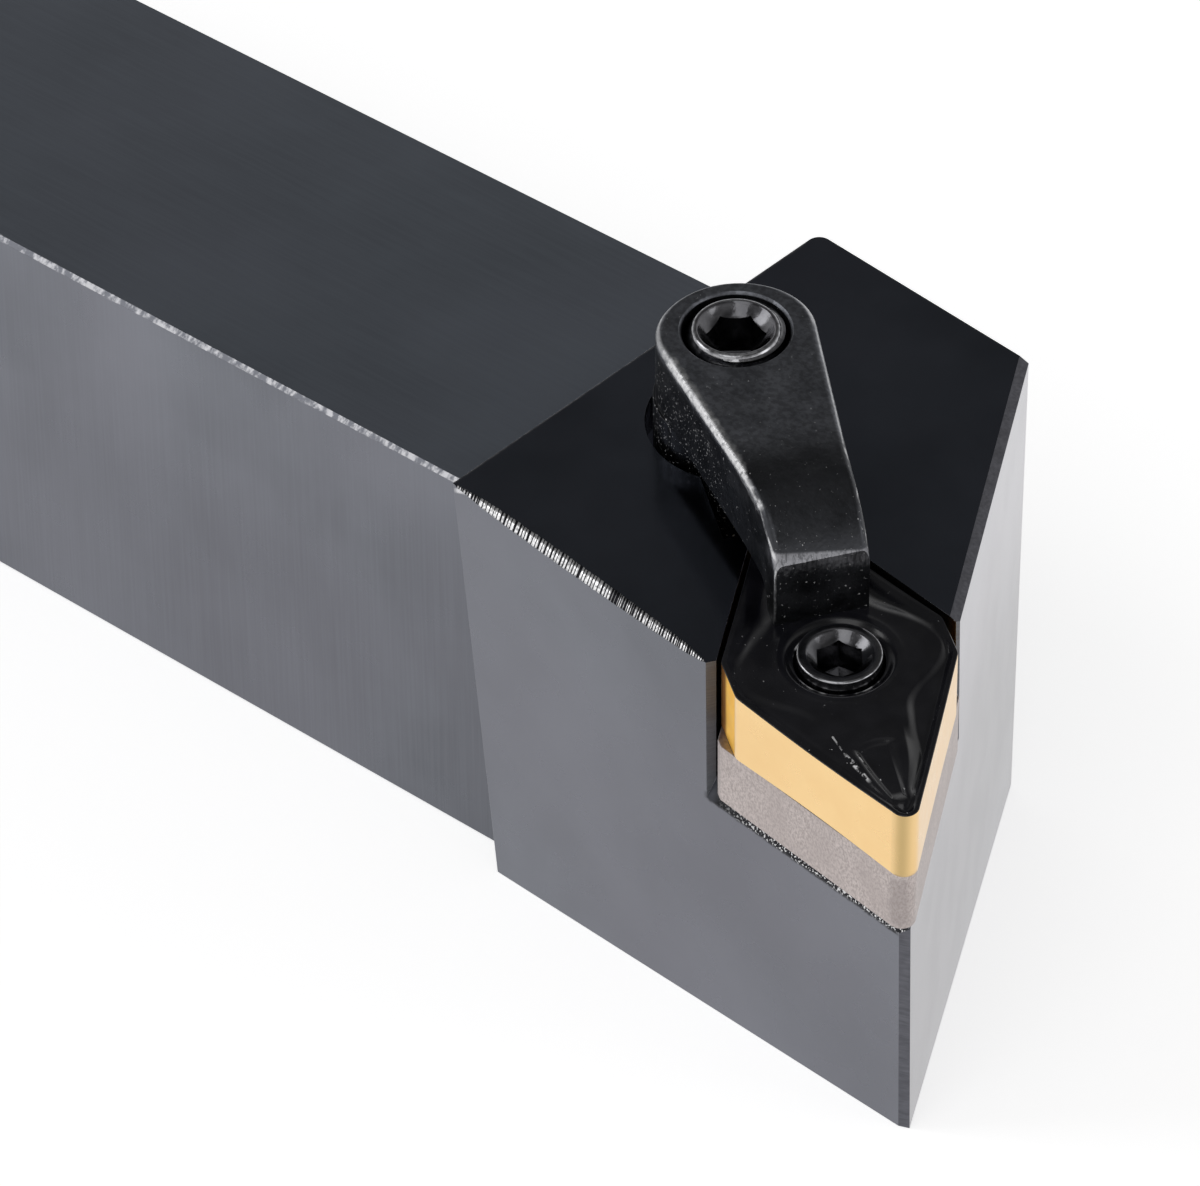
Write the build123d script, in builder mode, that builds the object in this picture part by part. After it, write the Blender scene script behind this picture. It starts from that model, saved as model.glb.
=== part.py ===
# Indexable turning tool: a left-hand external toolholder with a 55 degree insert.
# Millimetres. The origin is the centre of the shank's bottom face.
# +X runs along the shank to the cutting tip, +Y to the reference side, +Z up.

from build123d import *
from math import cos, radians, sin, sqrt, tan
import os

os.makedirs("parts", exist_ok=True)

# Shank. The overall length, the head's length and the tip's reach run to the insert's rounded nose.
shank_width = 25.0
shank_height = 25.0
overall_length = 150.0
shank_edge_chamfer = 0.25
rear_chamfer = 1.0

# Head
head_length = 36.2
tip_reach = 32.0
head_rise = 0.1
head_spread = 0.6
near_inset = 0.75
far_inset = 0.35
far_lean = 0.9
shoulder_skew = 1.7
shoulder_lean = 0.6
tip_near_cut = 0.8
tip_far_cut = 0.35
top_edge_run = 0.6
top_edge_drop = 0.15
shoulder_corner_radius = 0.8
shank_overlap = 7.5

# Insert and how it is held in space
rake_angle = 6.0
lead_angle = 3.0
corner_angle = 55.0
inscribed_circle = 12.7
insert_thickness = 4.76
nose_radius = 0.8
obtuse_chamfer = 1.65
insert_hole_diameter = 5.16
countersink_width = 0.55
countersink_depth = 0.4

# Chipbreaker on both faces of the insert. The island's half widths are given at four places
# from its middle to its tip, and the dish is a rounded triangle in each end of it.
land_width = 0.2
groove_depth = 0.28
groove_slope = 40.0
island_lobe = 5.9
island_bend_x = 2.4
island_bend_half = 4.6
island_waist_x = 4.4
island_waist_half = 2.75
island_neck_x = 6.6
island_neck_half = 2.3
island_end_x = 10.4
island_end_half = 1.05
island_reach = 11.6
island_tip_radius = 0.4
dish_back_x = 6.95
dish_back_half = 1.15
dish_front_x = 11.1
dish_corner_radius = 0.3
dish_depth = 0.15

# Shim under the insert
shim_thickness = 4.2
shim_inset = 0.08
shim_corner_chamfer = 0.3

# Pocket
wall_gap = 0.25
near_wall_chamfer = 0.65
far_wall_chamfer = 0.25
floor_edge_drop = 1.15
floor_edge_run = 0.6
corner_relief_diameter = 2.6
corner_relief_depth = 0.4

# Lock pin
pin_diameter = 4.8
pin_proud = 0.5
pin_collar_diameter = 7.0
pin_collar_height = 2.0
pin_thread_diameter = 5.0
pin_thread_length = 9.0
pin_key_flats = 2.5
pin_key_depth = 2.6

# Top clamp
clamp_offset = 20.1
clamp_top = 7.0
clamp_end_radius = 4.6
clamp_boss_radius = 4.75
clamp_taper = 7.8
clamp_nose_width = 5.5
clamp_nose_run = 5.8
clamp_nose_clear = 0.25
clamp_underside = 2.3
clamp_pad_length = 1.2
clamp_bend_run = 4.4
clamp_bend_drop = 2.6
clamp_throat_setback = 0.4
clamp_throat_height = 1.8
clamp_throat_radius = 1.2
clamp_edge_radius = 0.5
heel_width = 6.2
heel_reach = 6.6
heel_corner_radius = 1.2

# Seat of the clamp in the head
recess_radius = 5.5
recess_depth = 3.2
slot_width = 7.0

# Clamp screw
screw_diameter = 6.0
screw_proud = 0.5
screw_length = 24.0
screw_relief_length = 4.0
screw_relief_depth = 0.7
screw_key_flats = 3.0
screw_key_depth = 3.5
screw_hole_spare = 2.0

# Clearances and small sizes that several pieces share
thread_clearance = 0.1
collar_clearance = 0.15
drill_spare = 1.5
end_chamfer = 0.35
key_bowl = 0.45
key_bowl_slope = 45.0
clamp_hole_chamfer = 0.15

# Directions and places worked out from the sizes above
half_corner = corner_angle / 2
shank_length = overall_length - head_length
rear_x = -shank_length / 2
rake_slope = tan(radians(rake_angle))
normal = Vector(rake_slope, -rake_slope, 1).normalized()
flank_plan = Vector(cos(radians(lead_angle)), -sin(radians(lead_angle)), 0)
flank = (flank_plan - Vector(0, 0, flank_plan.dot(normal) / normal.Z)).normalized()
diagonal = flank.rotate(Axis((0, 0, 0), normal), -half_corner)

# The tip is the sharp point where the insert's flanks would meet, a little outside its nose.
nose_setback = nose_radius / sin(radians(half_corner))
tip_beyond_x = diagonal.X * nose_setback - nose_radius * sqrt(1 - normal.X**2)
tip_beyond_y = -diagonal.Y * nose_setback - nose_radius * sqrt(1 - normal.Y**2)
tip_x = rear_x + overall_length + tip_beyond_x
tip_y = shank_width / 2 - tip_reach - tip_beyond_y
tip = Vector(tip_x, tip_y, shank_height)

insert_side = inscribed_circle / sin(radians(corner_angle))
long_half = insert_side * cos(radians(half_corner))
short_half = insert_side * sin(radians(half_corner))

# The insert's top face: origin on its hole, x to the tip, y to the reference side, z up.
insert_top = Plane(origin=tip - diagonal * long_half, x_dir=diagonal, z_dir=normal)
shim_top = insert_top.offset(-insert_thickness)
pocket_floor = shim_top.offset(-shim_thickness)
head_top = insert_top.offset(head_rise)
recess_floor = head_top.offset(-recess_depth)
clamp_place = -clamp_offset
through_all = 2 * overall_length


def rhombus(inset, acute_radius, corner_cut):
    """The insert's outline with its sides moved in, its sharp corners rounded and its wide ones cut."""
    reach = long_half - inset / sin(radians(half_corner))
    spread = short_half - inset / cos(radians(half_corner))
    with BuildSketch() as outline:
        with BuildLine():
            Polyline((reach, 0), (0, spread), (-reach, 0), (0, -spread), close=True)
        make_face()
        corners = outline.vertices().sort_by(Axis.X)
        fillet([corners[0], corners[-1]], acute_radius)
        wide_corners = outline.vertices().sort_by(Axis.Y)
        chamfer([wide_corners[0], wide_corners[-1]], corner_cut)
    return outline.sketch


# Holder body: shank and head in one piece.
# The head's near and far flanks lie a little inside the middle of the insert's flanks. They open
# a little wider than those, and the far one leans inwards towards the top.
flank_turn = radians(half_corner + head_spread)
near_facing = diagonal * sin(flank_turn) - insert_top.y_dir * cos(flank_turn)
far_facing = diagonal * sin(flank_turn) + insert_top.y_dir * cos(flank_turn)
far_facing += normal * tan(radians(far_lean))
near_middle = shim_top.from_local_coords((long_half / 2, -short_half / 2, 0))
far_middle = shim_top.from_local_coords((long_half / 2, short_half / 2, 0))
near_flank = Plane(origin=near_middle, z_dir=near_facing).offset(-near_inset)
far_flank = Plane(origin=far_middle, z_dir=far_facing).offset(-far_inset)
shoulder_point = Vector(rear_x + shank_length, -shank_width / 2, shank_height)
shoulder_normal = Vector(1, -tan(radians(shoulder_skew)), -tan(radians(shoulder_lean)))
shoulder = Plane(origin=shoulder_point, z_dir=shoulder_normal)
reference_side = Plane(origin=(0, shank_width / 2, 0), z_dir=(0, 1, 0))

with BuildPart() as shank_bar:
    with BuildSketch(Plane.YZ.offset(rear_x)):
        with Locations((0, shank_height / 2)):
            Rectangle(shank_width, shank_height)
    extrude(amount=shank_length + shank_overlap)
    chamfer(shank_bar.faces().sort_by(Axis.X)[0].edges(), rear_chamfer)
    chamfer(shank_bar.edges().filter_by(Axis.X), shank_edge_chamfer)

with BuildPart() as holder_body:
    with BuildSketch(head_top):
        Rectangle(through_all, through_all)
    extrude(amount=-through_all)
    split(bisect_by=near_flank, keep=Keep.BOTTOM)
    split(bisect_by=far_flank, keep=Keep.BOTTOM)
    split(bisect_by=reference_side, keep=Keep.BOTTOM)
    split(bisect_by=Plane.XY, keep=Keep.TOP)
    split(bisect_by=shoulder, keep=Keep.TOP)
    near_face = holder_body.faces().sort_by_distance(near_flank.origin)[0]
    tip_edge = holder_body.edges().sort_by_distance(tip - normal * shank_height / 2)[0]
    chamfer(tip_edge, tip_near_cut, tip_far_cut, reference=near_face)
    top_face = holder_body.faces().sort_by(Axis(insert_top.origin, normal))[-1]
    far_top_place = head_top.from_local_coords((0, short_half, 0))
    far_top_edge = holder_body.edges().sort_by_distance(far_top_place)[0]
    chamfer(far_top_edge, top_edge_run, top_edge_drop, reference=top_face)

    far_corner = Vector(shoulder_point.X, shank_width / 2, shank_height)
    fillet(holder_body.edges().sort_by_distance(far_corner)[0], shoulder_corner_radius)
    add(shank_bar.part)

    # Insert pocket: two walls along the insert's back flanks, on a floor under the shim.
    pocket_back = -long_half - wall_gap / sin(radians(half_corner))
    pocket_front = pocket_back + 2 * long_half
    pocket_spread = 2 * short_half
    with BuildSketch(pocket_floor):
        with BuildLine():
            Polyline(
                (pocket_back, 0),
                (pocket_front, pocket_spread),
                (pocket_front, -pocket_spread),
                close=True,
            )
        make_face()
    extrude(amount=through_all, mode=Mode.SUBTRACT)
    with BuildSketch(pocket_floor.offset(-corner_relief_depth)):
        with Locations((pocket_back + corner_relief_diameter / 2, 0)):
            Circle(corner_relief_diameter / 2)
    extrude(amount=through_all, mode=Mode.SUBTRACT)

    # The pocket's front edges: a wide chamfer under the shim and one up each wall.
    near_face = holder_body.faces().sort_by_distance(near_flank.origin - normal * shank_height / 2)[0]
    floor_edge_place = pocket_floor.from_local_coords((long_half / 2, -short_half / 2, 0))
    floor_edge = holder_body.edges().sort_by_distance(floor_edge_place)[0]
    chamfer(floor_edge, floor_edge_drop, floor_edge_run, reference=near_face)
    for side, size in ((-1, near_wall_chamfer), (1, far_wall_chamfer)):
        wall_end = pocket_floor.from_local_coords(
            (0, side * (short_half + wall_gap / cos(radians(half_corner))), insert_thickness)
        )
        chamfer(holder_body.edges().sort_by_distance(wall_end)[0], size)

    # Seat of the clamp: a round recess with a slot that runs to the pocket's back corner.
    with BuildSketch(recess_floor):
        with Locations((clamp_place, 0)):
            Circle(recess_radius)
        with Locations(((clamp_place + pocket_back) / 2, 0)):
            Rectangle(abs(clamp_place - pocket_back) + slot_width, slot_width)
    extrude(amount=through_all, mode=Mode.SUBTRACT)

    # Tapped holes for the clamp screw and the lock pin, drilled square to the head's top.
    screw_tip_depth = screw_length - screw_proud - clamp_top + head_rise - recess_depth
    with Locations(recess_floor.location * Location((clamp_place, 0, 0))):
        Hole(screw_diameter / 2 + thread_clearance, screw_tip_depth + screw_hole_spare)
    with Locations(pocket_floor.location):
        Hole(pin_thread_diameter / 2 + thread_clearance, pin_thread_length + drill_spare)


# Shim: the insert's outline in carbide, stepped in the middle for the pin's collar.
with BuildPart() as shim:
    with BuildSketch(shim_top):
        add(rhombus(shim_inset, nose_radius, shim_corner_chamfer))
    extrude(amount=-shim_thickness)
    with Locations(shim_top.location):
        CounterBoreHole(
            pin_thread_diameter / 2 + collar_clearance,
            pin_collar_diameter / 2 + collar_clearance,
            pin_collar_height + collar_clearance,
        )


# Insert: a rhombic prism with the same chipbreaker on both faces and a hole for the pin.
def island():
    """The raised middle of a face: wide at the insert's wide corners, narrow towards its sharp ones."""
    with BuildSketch() as outline:
        with BuildLine():
            flank_side = Spline(
                (0, island_lobe),
                (island_bend_x, island_bend_half),
                (island_waist_x, island_waist_half),
                (island_neck_x, island_neck_half),
                (island_end_x, island_end_half),
                tangents=((1, 0), (cos(radians(half_corner)), -sin(radians(half_corner)))),
            )
            Line(flank_side @ 1, (island_reach, 0))
            mirror(about=Plane.YZ)
            mirror(about=Plane.XZ)
        make_face()
        tips = outline.vertices().sort_by(Axis.X)
        fillet([tips[0], tips[-1]], island_tip_radius)
    return outline.sketch


def nose_dishes():
    """The two hollows that the island holds behind the sharp corners."""
    with BuildSketch() as dish:
        with BuildLine():
            Polyline(
                (dish_front_x, 0),
                (dish_back_x, dish_back_half),
                (dish_back_x, -dish_back_half),
                close=True,
            )
        make_face()
        fillet(dish.vertices(), dish_corner_radius)
        mirror(about=Plane.YZ)
    return dish.sketch


insert_bottom = Plane(origin=shim_top.origin, x_dir=diagonal, z_dir=-normal)

with BuildPart() as insert:
    with BuildSketch(insert_top):
        add(rhombus(0, nose_radius, obtuse_chamfer))
    extrude(amount=-insert_thickness)
    for face in (insert_top, insert_bottom):
        with BuildSketch(face):
            add(rhombus(land_width, nose_radius - land_width, obtuse_chamfer))
        extrude(amount=-groove_depth, taper=groove_slope, mode=Mode.SUBTRACT)
        with BuildSketch(face.offset(-groove_depth)):
            add(island())
        extrude(amount=groove_depth)
        with BuildSketch(face):
            add(nose_dishes())
        extrude(amount=-dish_depth, mode=Mode.SUBTRACT)
        with BuildSketch(face):
            Circle(insert_hole_diameter / 2 + countersink_width)
        extrude(amount=-countersink_depth, mode=Mode.SUBTRACT)
    with BuildSketch(insert_top):
        Circle(insert_hole_diameter / 2)
    extrude(amount=-insert_thickness, mode=Mode.SUBTRACT)


# Lock pin: it screws into the body, its collar holds the shim and its head fills the insert's hole.
pin_head_height = insert_thickness + pin_proud
collar_bottom = shim_top.offset(-pin_collar_height)
pin_thread_run = shim_thickness - pin_collar_height + pin_thread_length

with BuildPart() as lock_pin:
    with BuildSketch(collar_bottom):
        Circle(pin_thread_diameter / 2)
    extrude(amount=-pin_thread_run)
    chamfer(lock_pin.faces().sort_by(Axis(insert_top.origin, normal))[0].edges(), end_chamfer)
    with BuildSketch(collar_bottom):
        Circle(pin_collar_diameter / 2)
    extrude(amount=pin_collar_height - collar_clearance)
    with BuildSketch(shim_top):
        Circle(pin_diameter / 2)
    extrude(amount=-collar_clearance)
    with BuildSketch(shim_top):
        Circle(pin_diameter / 2)
    extrude(amount=pin_head_height)
    chamfer(lock_pin.faces().sort_by(Axis(insert_top.origin, normal))[-1].edges(), end_chamfer)
    with BuildSketch(insert_top.offset(pin_proud)):
        RegularPolygon(pin_key_flats / 2, 6, major_radius=False)
    extrude(amount=-pin_key_depth, mode=Mode.SUBTRACT)
    with BuildSketch(insert_top.offset(pin_proud)):
        Circle(pin_key_flats / 2 + key_bowl)
    extrude(amount=-key_bowl, taper=key_bowl_slope, mode=Mode.SUBTRACT)


# Top clamp: a forged finger with a round boss, bent down to a pad on the insert.
clamp_side = Plane(origin=insert_top.origin, x_dir=diagonal, z_dir=diagonal.cross(normal))
across = Axis((0, 0, 0), clamp_side.z_dir)
upwards = Axis(insert_top.origin, normal)
nose_x = -insert_hole_diameter / 2 - countersink_width - clamp_nose_clear
nose_half = clamp_nose_width / 2
pad_back = nose_x - clamp_pad_length
clamp_back = clamp_place - clamp_end_radius
heel_bottom = head_rise - recess_depth

with BuildPart() as top_clamp:
    with BuildSketch(clamp_side) as finger_profile:
        with BuildLine():
            top_line = Line((clamp_back, clamp_top), (nose_x - clamp_bend_run, clamp_top))
            bend = TangentArc(top_line @ 1, (nose_x, clamp_top - clamp_bend_drop), tangent=(1, 0))
            Polyline(
                bend @ 1,
                (nose_x, 0),
                (pad_back, 0),
                (pad_back - clamp_throat_setback, clamp_throat_height),
                (clamp_place, clamp_underside),
                (clamp_back, clamp_underside),
                (clamp_back, clamp_top),
            )
        make_face()
        throat = Vector(pad_back - clamp_throat_setback, clamp_throat_height)
        fillet(finger_profile.vertices().sort_by_distance(throat)[0], clamp_throat_radius)
    extrude(amount=clamp_end_radius, both=True)
    with BuildSketch(insert_top):
        with BuildLine():
            taper_x = clamp_end_radius * sin(radians(clamp_taper))
            taper_y = clamp_end_radius * cos(radians(clamp_taper))
            side_start = (clamp_place + taper_x, taper_y)
            side_length = (nose_x - clamp_nose_run - side_start[0]) / cos(radians(clamp_taper))
            side_line = PolarLine(side_start, side_length, -clamp_taper)
            TangentArc(side_line @ 1, (nose_x, nose_half), tangent=side_line % 1)
            mirror(about=Plane.XZ)
            Line((nose_x, nose_half), (nose_x, -nose_half))
            ThreePointArc(side_start, (clamp_back, 0), (clamp_place + taper_x, -taper_y))
        make_face()
    extrude(amount=clamp_top, mode=Mode.INTERSECT)
    crown_edges = top_clamp.faces().sort_by(upwards)[-2:].edges()
    fillet(crown_edges.filter_by(across, reverse=True), clamp_edge_radius)
    with BuildSketch(recess_floor):
        with Locations((clamp_place, 0)):
            Circle(clamp_boss_radius)
    extrude(amount=clamp_underside - heel_bottom)
    with BuildSketch(recess_floor) as heel:
        with Locations((clamp_place + heel_reach / 2, 0)):
            Rectangle(heel_reach, heel_width)
        fillet(heel.vertices().sort_by(Axis.X)[-2:], heel_corner_radius)
    extrude(amount=clamp_underside - heel_bottom)
    with Locations(insert_top.offset(clamp_top).location * Location((clamp_place, 0, 0))):
        CounterSinkHole(
            screw_diameter / 2 + thread_clearance,
            screw_diameter / 2 + thread_clearance + clamp_hole_chamfer,
        )


# Clamp screw: threaded at both ends, with a relief between and a key socket in its top.
screw_top = insert_top.offset(clamp_top + screw_proud).location * Location((clamp_place, 0, 0))
screw_bottom = Plane(screw_top * Location((0, 0, -screw_length)))
relief_middle = screw_length / 2

with BuildPart() as clamp_screw:
    with BuildSketch(screw_bottom):
        Circle(screw_diameter / 2)
    extrude(amount=screw_length)
    chamfer(clamp_screw.edges().filter_by(GeomType.CIRCLE), end_chamfer)
    with BuildSketch(screw_bottom.offset(relief_middle)):
        Circle(screw_diameter / 2)
        Circle(screw_diameter / 2 - screw_relief_depth, mode=Mode.SUBTRACT)
    extrude(amount=screw_relief_length / 2, both=True, mode=Mode.SUBTRACT)
    with BuildSketch(Plane(screw_top)):
        RegularPolygon(screw_key_flats / 2, 6, major_radius=False)
    extrude(amount=-screw_key_depth, mode=Mode.SUBTRACT)
    with BuildSketch(Plane(screw_top)):
        Circle(screw_key_flats / 2 + key_bowl)
    extrude(amount=-key_bowl, taper=key_bowl_slope, mode=Mode.SUBTRACT)


holder_body.part.label = "holder_body"
shim.part.label = "shim"
insert.part.label = "insert"
lock_pin.part.label = "lock_pin"
top_clamp.part.label = "top_clamp"
clamp_screw.part.label = "clamp_screw"

export_step(holder_body.part, "parts/holder_body.step")
export_step(shim.part, "parts/shim.step")
export_step(insert.part, "parts/insert.step")
export_step(lock_pin.part, "parts/lock_pin.step")
export_step(top_clamp.part, "parts/top_clamp.step")
export_step(clamp_screw.part, "parts/clamp_screw.step")
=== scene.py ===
"""Looks for the indexable turning tool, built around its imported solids. In metres."""

import math
import random

import bmesh
import bpy
import numpy as np
from mathutils import Matrix, Vector

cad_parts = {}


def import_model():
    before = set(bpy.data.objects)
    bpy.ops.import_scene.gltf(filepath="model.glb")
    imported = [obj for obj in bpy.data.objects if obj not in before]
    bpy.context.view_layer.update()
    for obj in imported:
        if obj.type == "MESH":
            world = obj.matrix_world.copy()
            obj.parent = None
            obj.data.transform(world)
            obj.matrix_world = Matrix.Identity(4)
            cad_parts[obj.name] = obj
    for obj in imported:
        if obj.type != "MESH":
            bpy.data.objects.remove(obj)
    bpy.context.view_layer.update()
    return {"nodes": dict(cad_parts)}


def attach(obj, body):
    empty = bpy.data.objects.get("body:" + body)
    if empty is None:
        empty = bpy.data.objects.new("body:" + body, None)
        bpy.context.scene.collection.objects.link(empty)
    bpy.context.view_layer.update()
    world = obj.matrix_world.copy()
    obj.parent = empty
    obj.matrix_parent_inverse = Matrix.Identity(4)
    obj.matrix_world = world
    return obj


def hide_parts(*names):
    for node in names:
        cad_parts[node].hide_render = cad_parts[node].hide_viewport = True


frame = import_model()
NODES = frame["nodes"]
MM = 0.001

# Facts shared with the part's source, in millimetres and degrees
CORNER_ANGLE = 55.0
INSCRIBED_CIRCLE = 12.7
INSERT_THICKNESS = 4.76
NOSE_RADIUS = 0.8
OBTUSE_CHAMFER = 1.65
CLAMP_OFFSET = -20.1
RECESS_RADIUS = 5.5
HOLE_RADIUS = 2.58
COUNTERSINK_RADIUS = 3.13
COUNTERSINK_DEPTH = 0.4

# The middle of the insert's top, and the directions along it, across it and out of it
INSERT_ORIGIN = Vector((82.0708, -12.6374, 26.9602))
INSERT_U = Vector((0.851411, -0.50476, -0.142539))
INSERT_V = Vector((0.514093, 0.856977, 0.036039))
INSERT_H = Vector((0.103962, -0.103962, 0.989133))

# Corners of the shank, the head and the pocket, in millimetres
SHANK_REAR_TOP = Vector((-55.9, -12.4, 24.9))
SHANK_HEAD_TOP = Vector((56.8, -12.4, 24.9))
SHOULDER_LOW = Vector((56.585, -14.290, 0.0))
HEAD_REAR_NEAR = Vector((56.805, -17.212, 29.236))
HEAD_REAR_FAR = Vector((57.694, 11.724, 32.184))
POCKET_LEFT_TOP = Vector((77.035, -18.059, 27.021))
POCKET_LEFT_FLOOR = Vector((75.973, -16.998, 16.922))
POCKET_TIP_FLOOR = Vector((91.010, -17.628, 15.275))


def spot(u, v, h):
    """A place given along the insert's diagonal, across it and over its top, in millimetres."""
    return INSERT_ORIGIN + INSERT_U * u + INSERT_V * v + INSERT_H * h


def local(point):
    """A place in metres as millimetres along the insert's diagonal, across it and over its top."""
    offset = point / MM - INSERT_ORIGIN
    return offset.dot(INSERT_U), offset.dot(INSERT_V), offset.dot(INSERT_H)


# Camera

# Place in millimetres, then azimuth, elevation and roll in degrees. Clipping is in metres.
CAMERA_PLACE = Vector((317.071, -274.337, 279.460))
CAMERA_ANGLES = (-45.937, 35.196, -0.999)
CAMERA_SENSOR, CAMERA_LENS = 36.0, 235.779
CAMERA_NEAR, CAMERA_FAR = 0.05, 20.0


def place_camera():
    """The photo's viewpoint, as three angles and a place found from the object's own edges."""
    azimuth, elevation, roll = (math.radians(a) for a in CAMERA_ANGLES)
    back = Vector((
        math.cos(elevation) * math.cos(azimuth),
        math.cos(elevation) * math.sin(azimuth),
        math.sin(elevation),
    ))
    level = Vector((-math.sin(azimuth), math.cos(azimuth), 0.0))
    upright = back.cross(level)
    right = math.cos(roll) * level + math.sin(roll) * upright
    up = math.cos(roll) * upright - math.sin(roll) * level
    data = bpy.data.cameras.new("camera")
    data.sensor_width = CAMERA_SENSOR
    data.lens = CAMERA_LENS
    data.clip_start, data.clip_end = CAMERA_NEAR, CAMERA_FAR
    camera = bpy.data.objects.new("camera", data)
    bpy.context.scene.collection.objects.link(camera)
    turn = Matrix((right, up, back)).transposed().to_4x4()
    camera.matrix_world = Matrix.Translation(CAMERA_PLACE * MM) @ turn
    bpy.context.scene.camera = camera


# Materials

class Finish:
    """A node material with helpers for the patterns that several finishes share."""

    def __init__(self, name, colour, metallic, roughness):
        self.material = bpy.data.materials.new(name)
        self.material.use_nodes = True
        self.tree = self.material.node_tree
        self.shader = self.tree.nodes["Principled BSDF"]
        self.shader.inputs["Metallic"].default_value = metallic
        self.shader.inputs["Roughness"].default_value = roughness
        self.shader.inputs["Base Color"].default_value = (*colour, 1.0)
        self.place = self.node("ShaderNodeTexCoord").outputs["Object"]
        self.height = None

    def node(self, kind, values=None, **settings):
        made = self.tree.nodes.new(kind)
        for key, value in settings.items():
            setattr(made, key, value)
        for key, value in (values or {}).items():
            if isinstance(value, bpy.types.NodeSocket):
                self.tree.links.new(value, made.inputs[key])
            else:
                made.inputs[key].default_value = value
        return made

    def math(self, operation, a, b=0.0):
        return self.node("ShaderNodeMath", {0: a, 1: b}, operation=operation).outputs[0]

    def times(self, first, *others):
        """The product of several masks."""
        for other in others:
            first = self.math("MULTIPLY", first, other)
        return first

    def most(self, first, *others):
        """The strongest of several masks."""
        for other in others:
            first = self.math("MAXIMUM", first, other)
        return first

    def vector(self, operation, a, b=None):
        """What a vector operation gives: a number for a length or dot product, or else a vector."""
        values = {0: a} if b is None else {0: a, 1: b}
        outputs = self.node("ShaderNodeVectorMath", values, operation=operation).outputs
        return outputs["Value" if operation in ("LENGTH", "DOT_PRODUCT") else "Vector"]

    def coordinate(self, axis):
        return self.node("ShaderNodeSeparateXYZ", {0: self.place}).outputs[axis]

    def attribute(self, name):
        return self.node("ShaderNodeAttribute", attribute_name=name).outputs["Fac"]

    def noise(self, scale, detail=3.0, stretch=None, roughness=0.5):
        """Noise from 0 to 1, in features per metre; stretch scales the three directions."""
        place = self.place
        if stretch is not None:
            place = self.vector("MULTIPLY", place, stretch)
        values = {"Vector": place, "Scale": scale, "Detail": detail, "Roughness": roughness}
        return self.node("ShaderNodeTexNoise", values).outputs["Fac"]

    def ramp(self, value, low, high, to_low=0.0, to_high=1.0):
        """A smooth step from to_low to to_high as the value goes from low to high."""
        values = {"Value": value, "From Min": low, "From Max": high,
                  "To Min": to_low, "To Max": to_high}
        return self.node("ShaderNodeMapRange", values, interpolation_type="SMOOTHSTEP").outputs[0]

    def mix(self, factor, a, b):
        made = self.node("ShaderNodeMix", data_type="RGBA")
        for socket, value in zip((made.inputs[0], made.inputs[6], made.inputs[7]), (factor, a, b)):
            if isinstance(value, bpy.types.NodeSocket):
                self.tree.links.new(value, socket)
            else:
                socket.default_value = (*value, 1.0) if isinstance(value, tuple) else value
        return made.outputs[2]

    def drift(self, scale, low=0.0, high=1.0, detail=3.0):
        """A number that wanders between low and high over the surface."""
        return self.ramp(self.noise(scale, detail), 0.3, 0.7, low, high)

    def mottled(self, scale, dark, light):
        """A colour that wanders between two others over the surface."""
        return self.mix(self.drift(scale), dark, light)

    def near_line(self, start, end, width, ragged=0.0, scale=900.0):
        """1 on the line from start to end, falling to 0 at width, all in millimetres."""
        start, end = start * MM, end * MM
        along = (end - start).normalized()
        offset = self.vector("SUBTRACT", self.place, start)
        distance = self.vector("LENGTH", self.vector("CROSS_PRODUCT", offset, along))
        if ragged:
            uneven = self.times(self.math("SUBTRACT", self.noise(scale), 0.5), ragged * MM)
            distance = self.math("ADD", distance, uneven)
        run = self.vector("DOT_PRODUCT", offset, along)
        length = (end - start).length
        inside = self.times(self.ramp(run, -0.2 * MM, 0.4 * MM),
                            self.ramp(run, length + 0.2 * MM, length - 0.4 * MM))
        return self.times(self.ramp(distance, width * MM, 0.35 * width * MM), inside)

    def ring(self, centre, radius, width):
        """1 on a circle about the insert's upright, falling to 0 at width, in millimetres."""
        offset = self.vector("SUBTRACT", self.place, centre * MM)
        distance = self.vector("LENGTH", self.vector("CROSS_PRODUCT", offset, INSERT_H))
        off = self.math("ABSOLUTE", self.math("SUBTRACT", distance, radius * MM))
        return self.ramp(off, width * MM, 0.35 * width * MM)

    def reach(self, axis):
        """How far a place lies from the insert's middle along an axis, in millimetres."""
        offset = self.vector("SUBTRACT", self.place, INSERT_ORIGIN * MM)
        return self.math("DIVIDE", self.vector("DOT_PRODUCT", offset, axis), MM)

    def bump(self, height, distance):
        """Adds a bump of that depth in millimetres over the ones before it."""
        values = {"Height": height, "Distance": distance * MM, "Strength": 1.0}
        if self.height is not None:
            values["Normal"] = self.height
        self.height = self.node("ShaderNodeBump", values).outputs["Normal"]

    def set(self, socket, value):
        self.tree.links.new(value, self.shader.inputs[socket])

    def done(self):
        if self.height is not None:
            self.tree.links.new(self.height, self.shader.inputs["Normal"])
        return self.material


BARE_STEEL = (0.62, 0.62, 0.64)
BURR = (0.85, 0.85, 0.86)
CUT_SHADOW = (0.02, 0.02, 0.024)

# The pocket's lower near edge: plain up to its corner's end, and burred further right, along x
CORNER_START, CORNER_END = 76.4, 77.0
BURR_START, BURR_END = 76.5, 80.5


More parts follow.
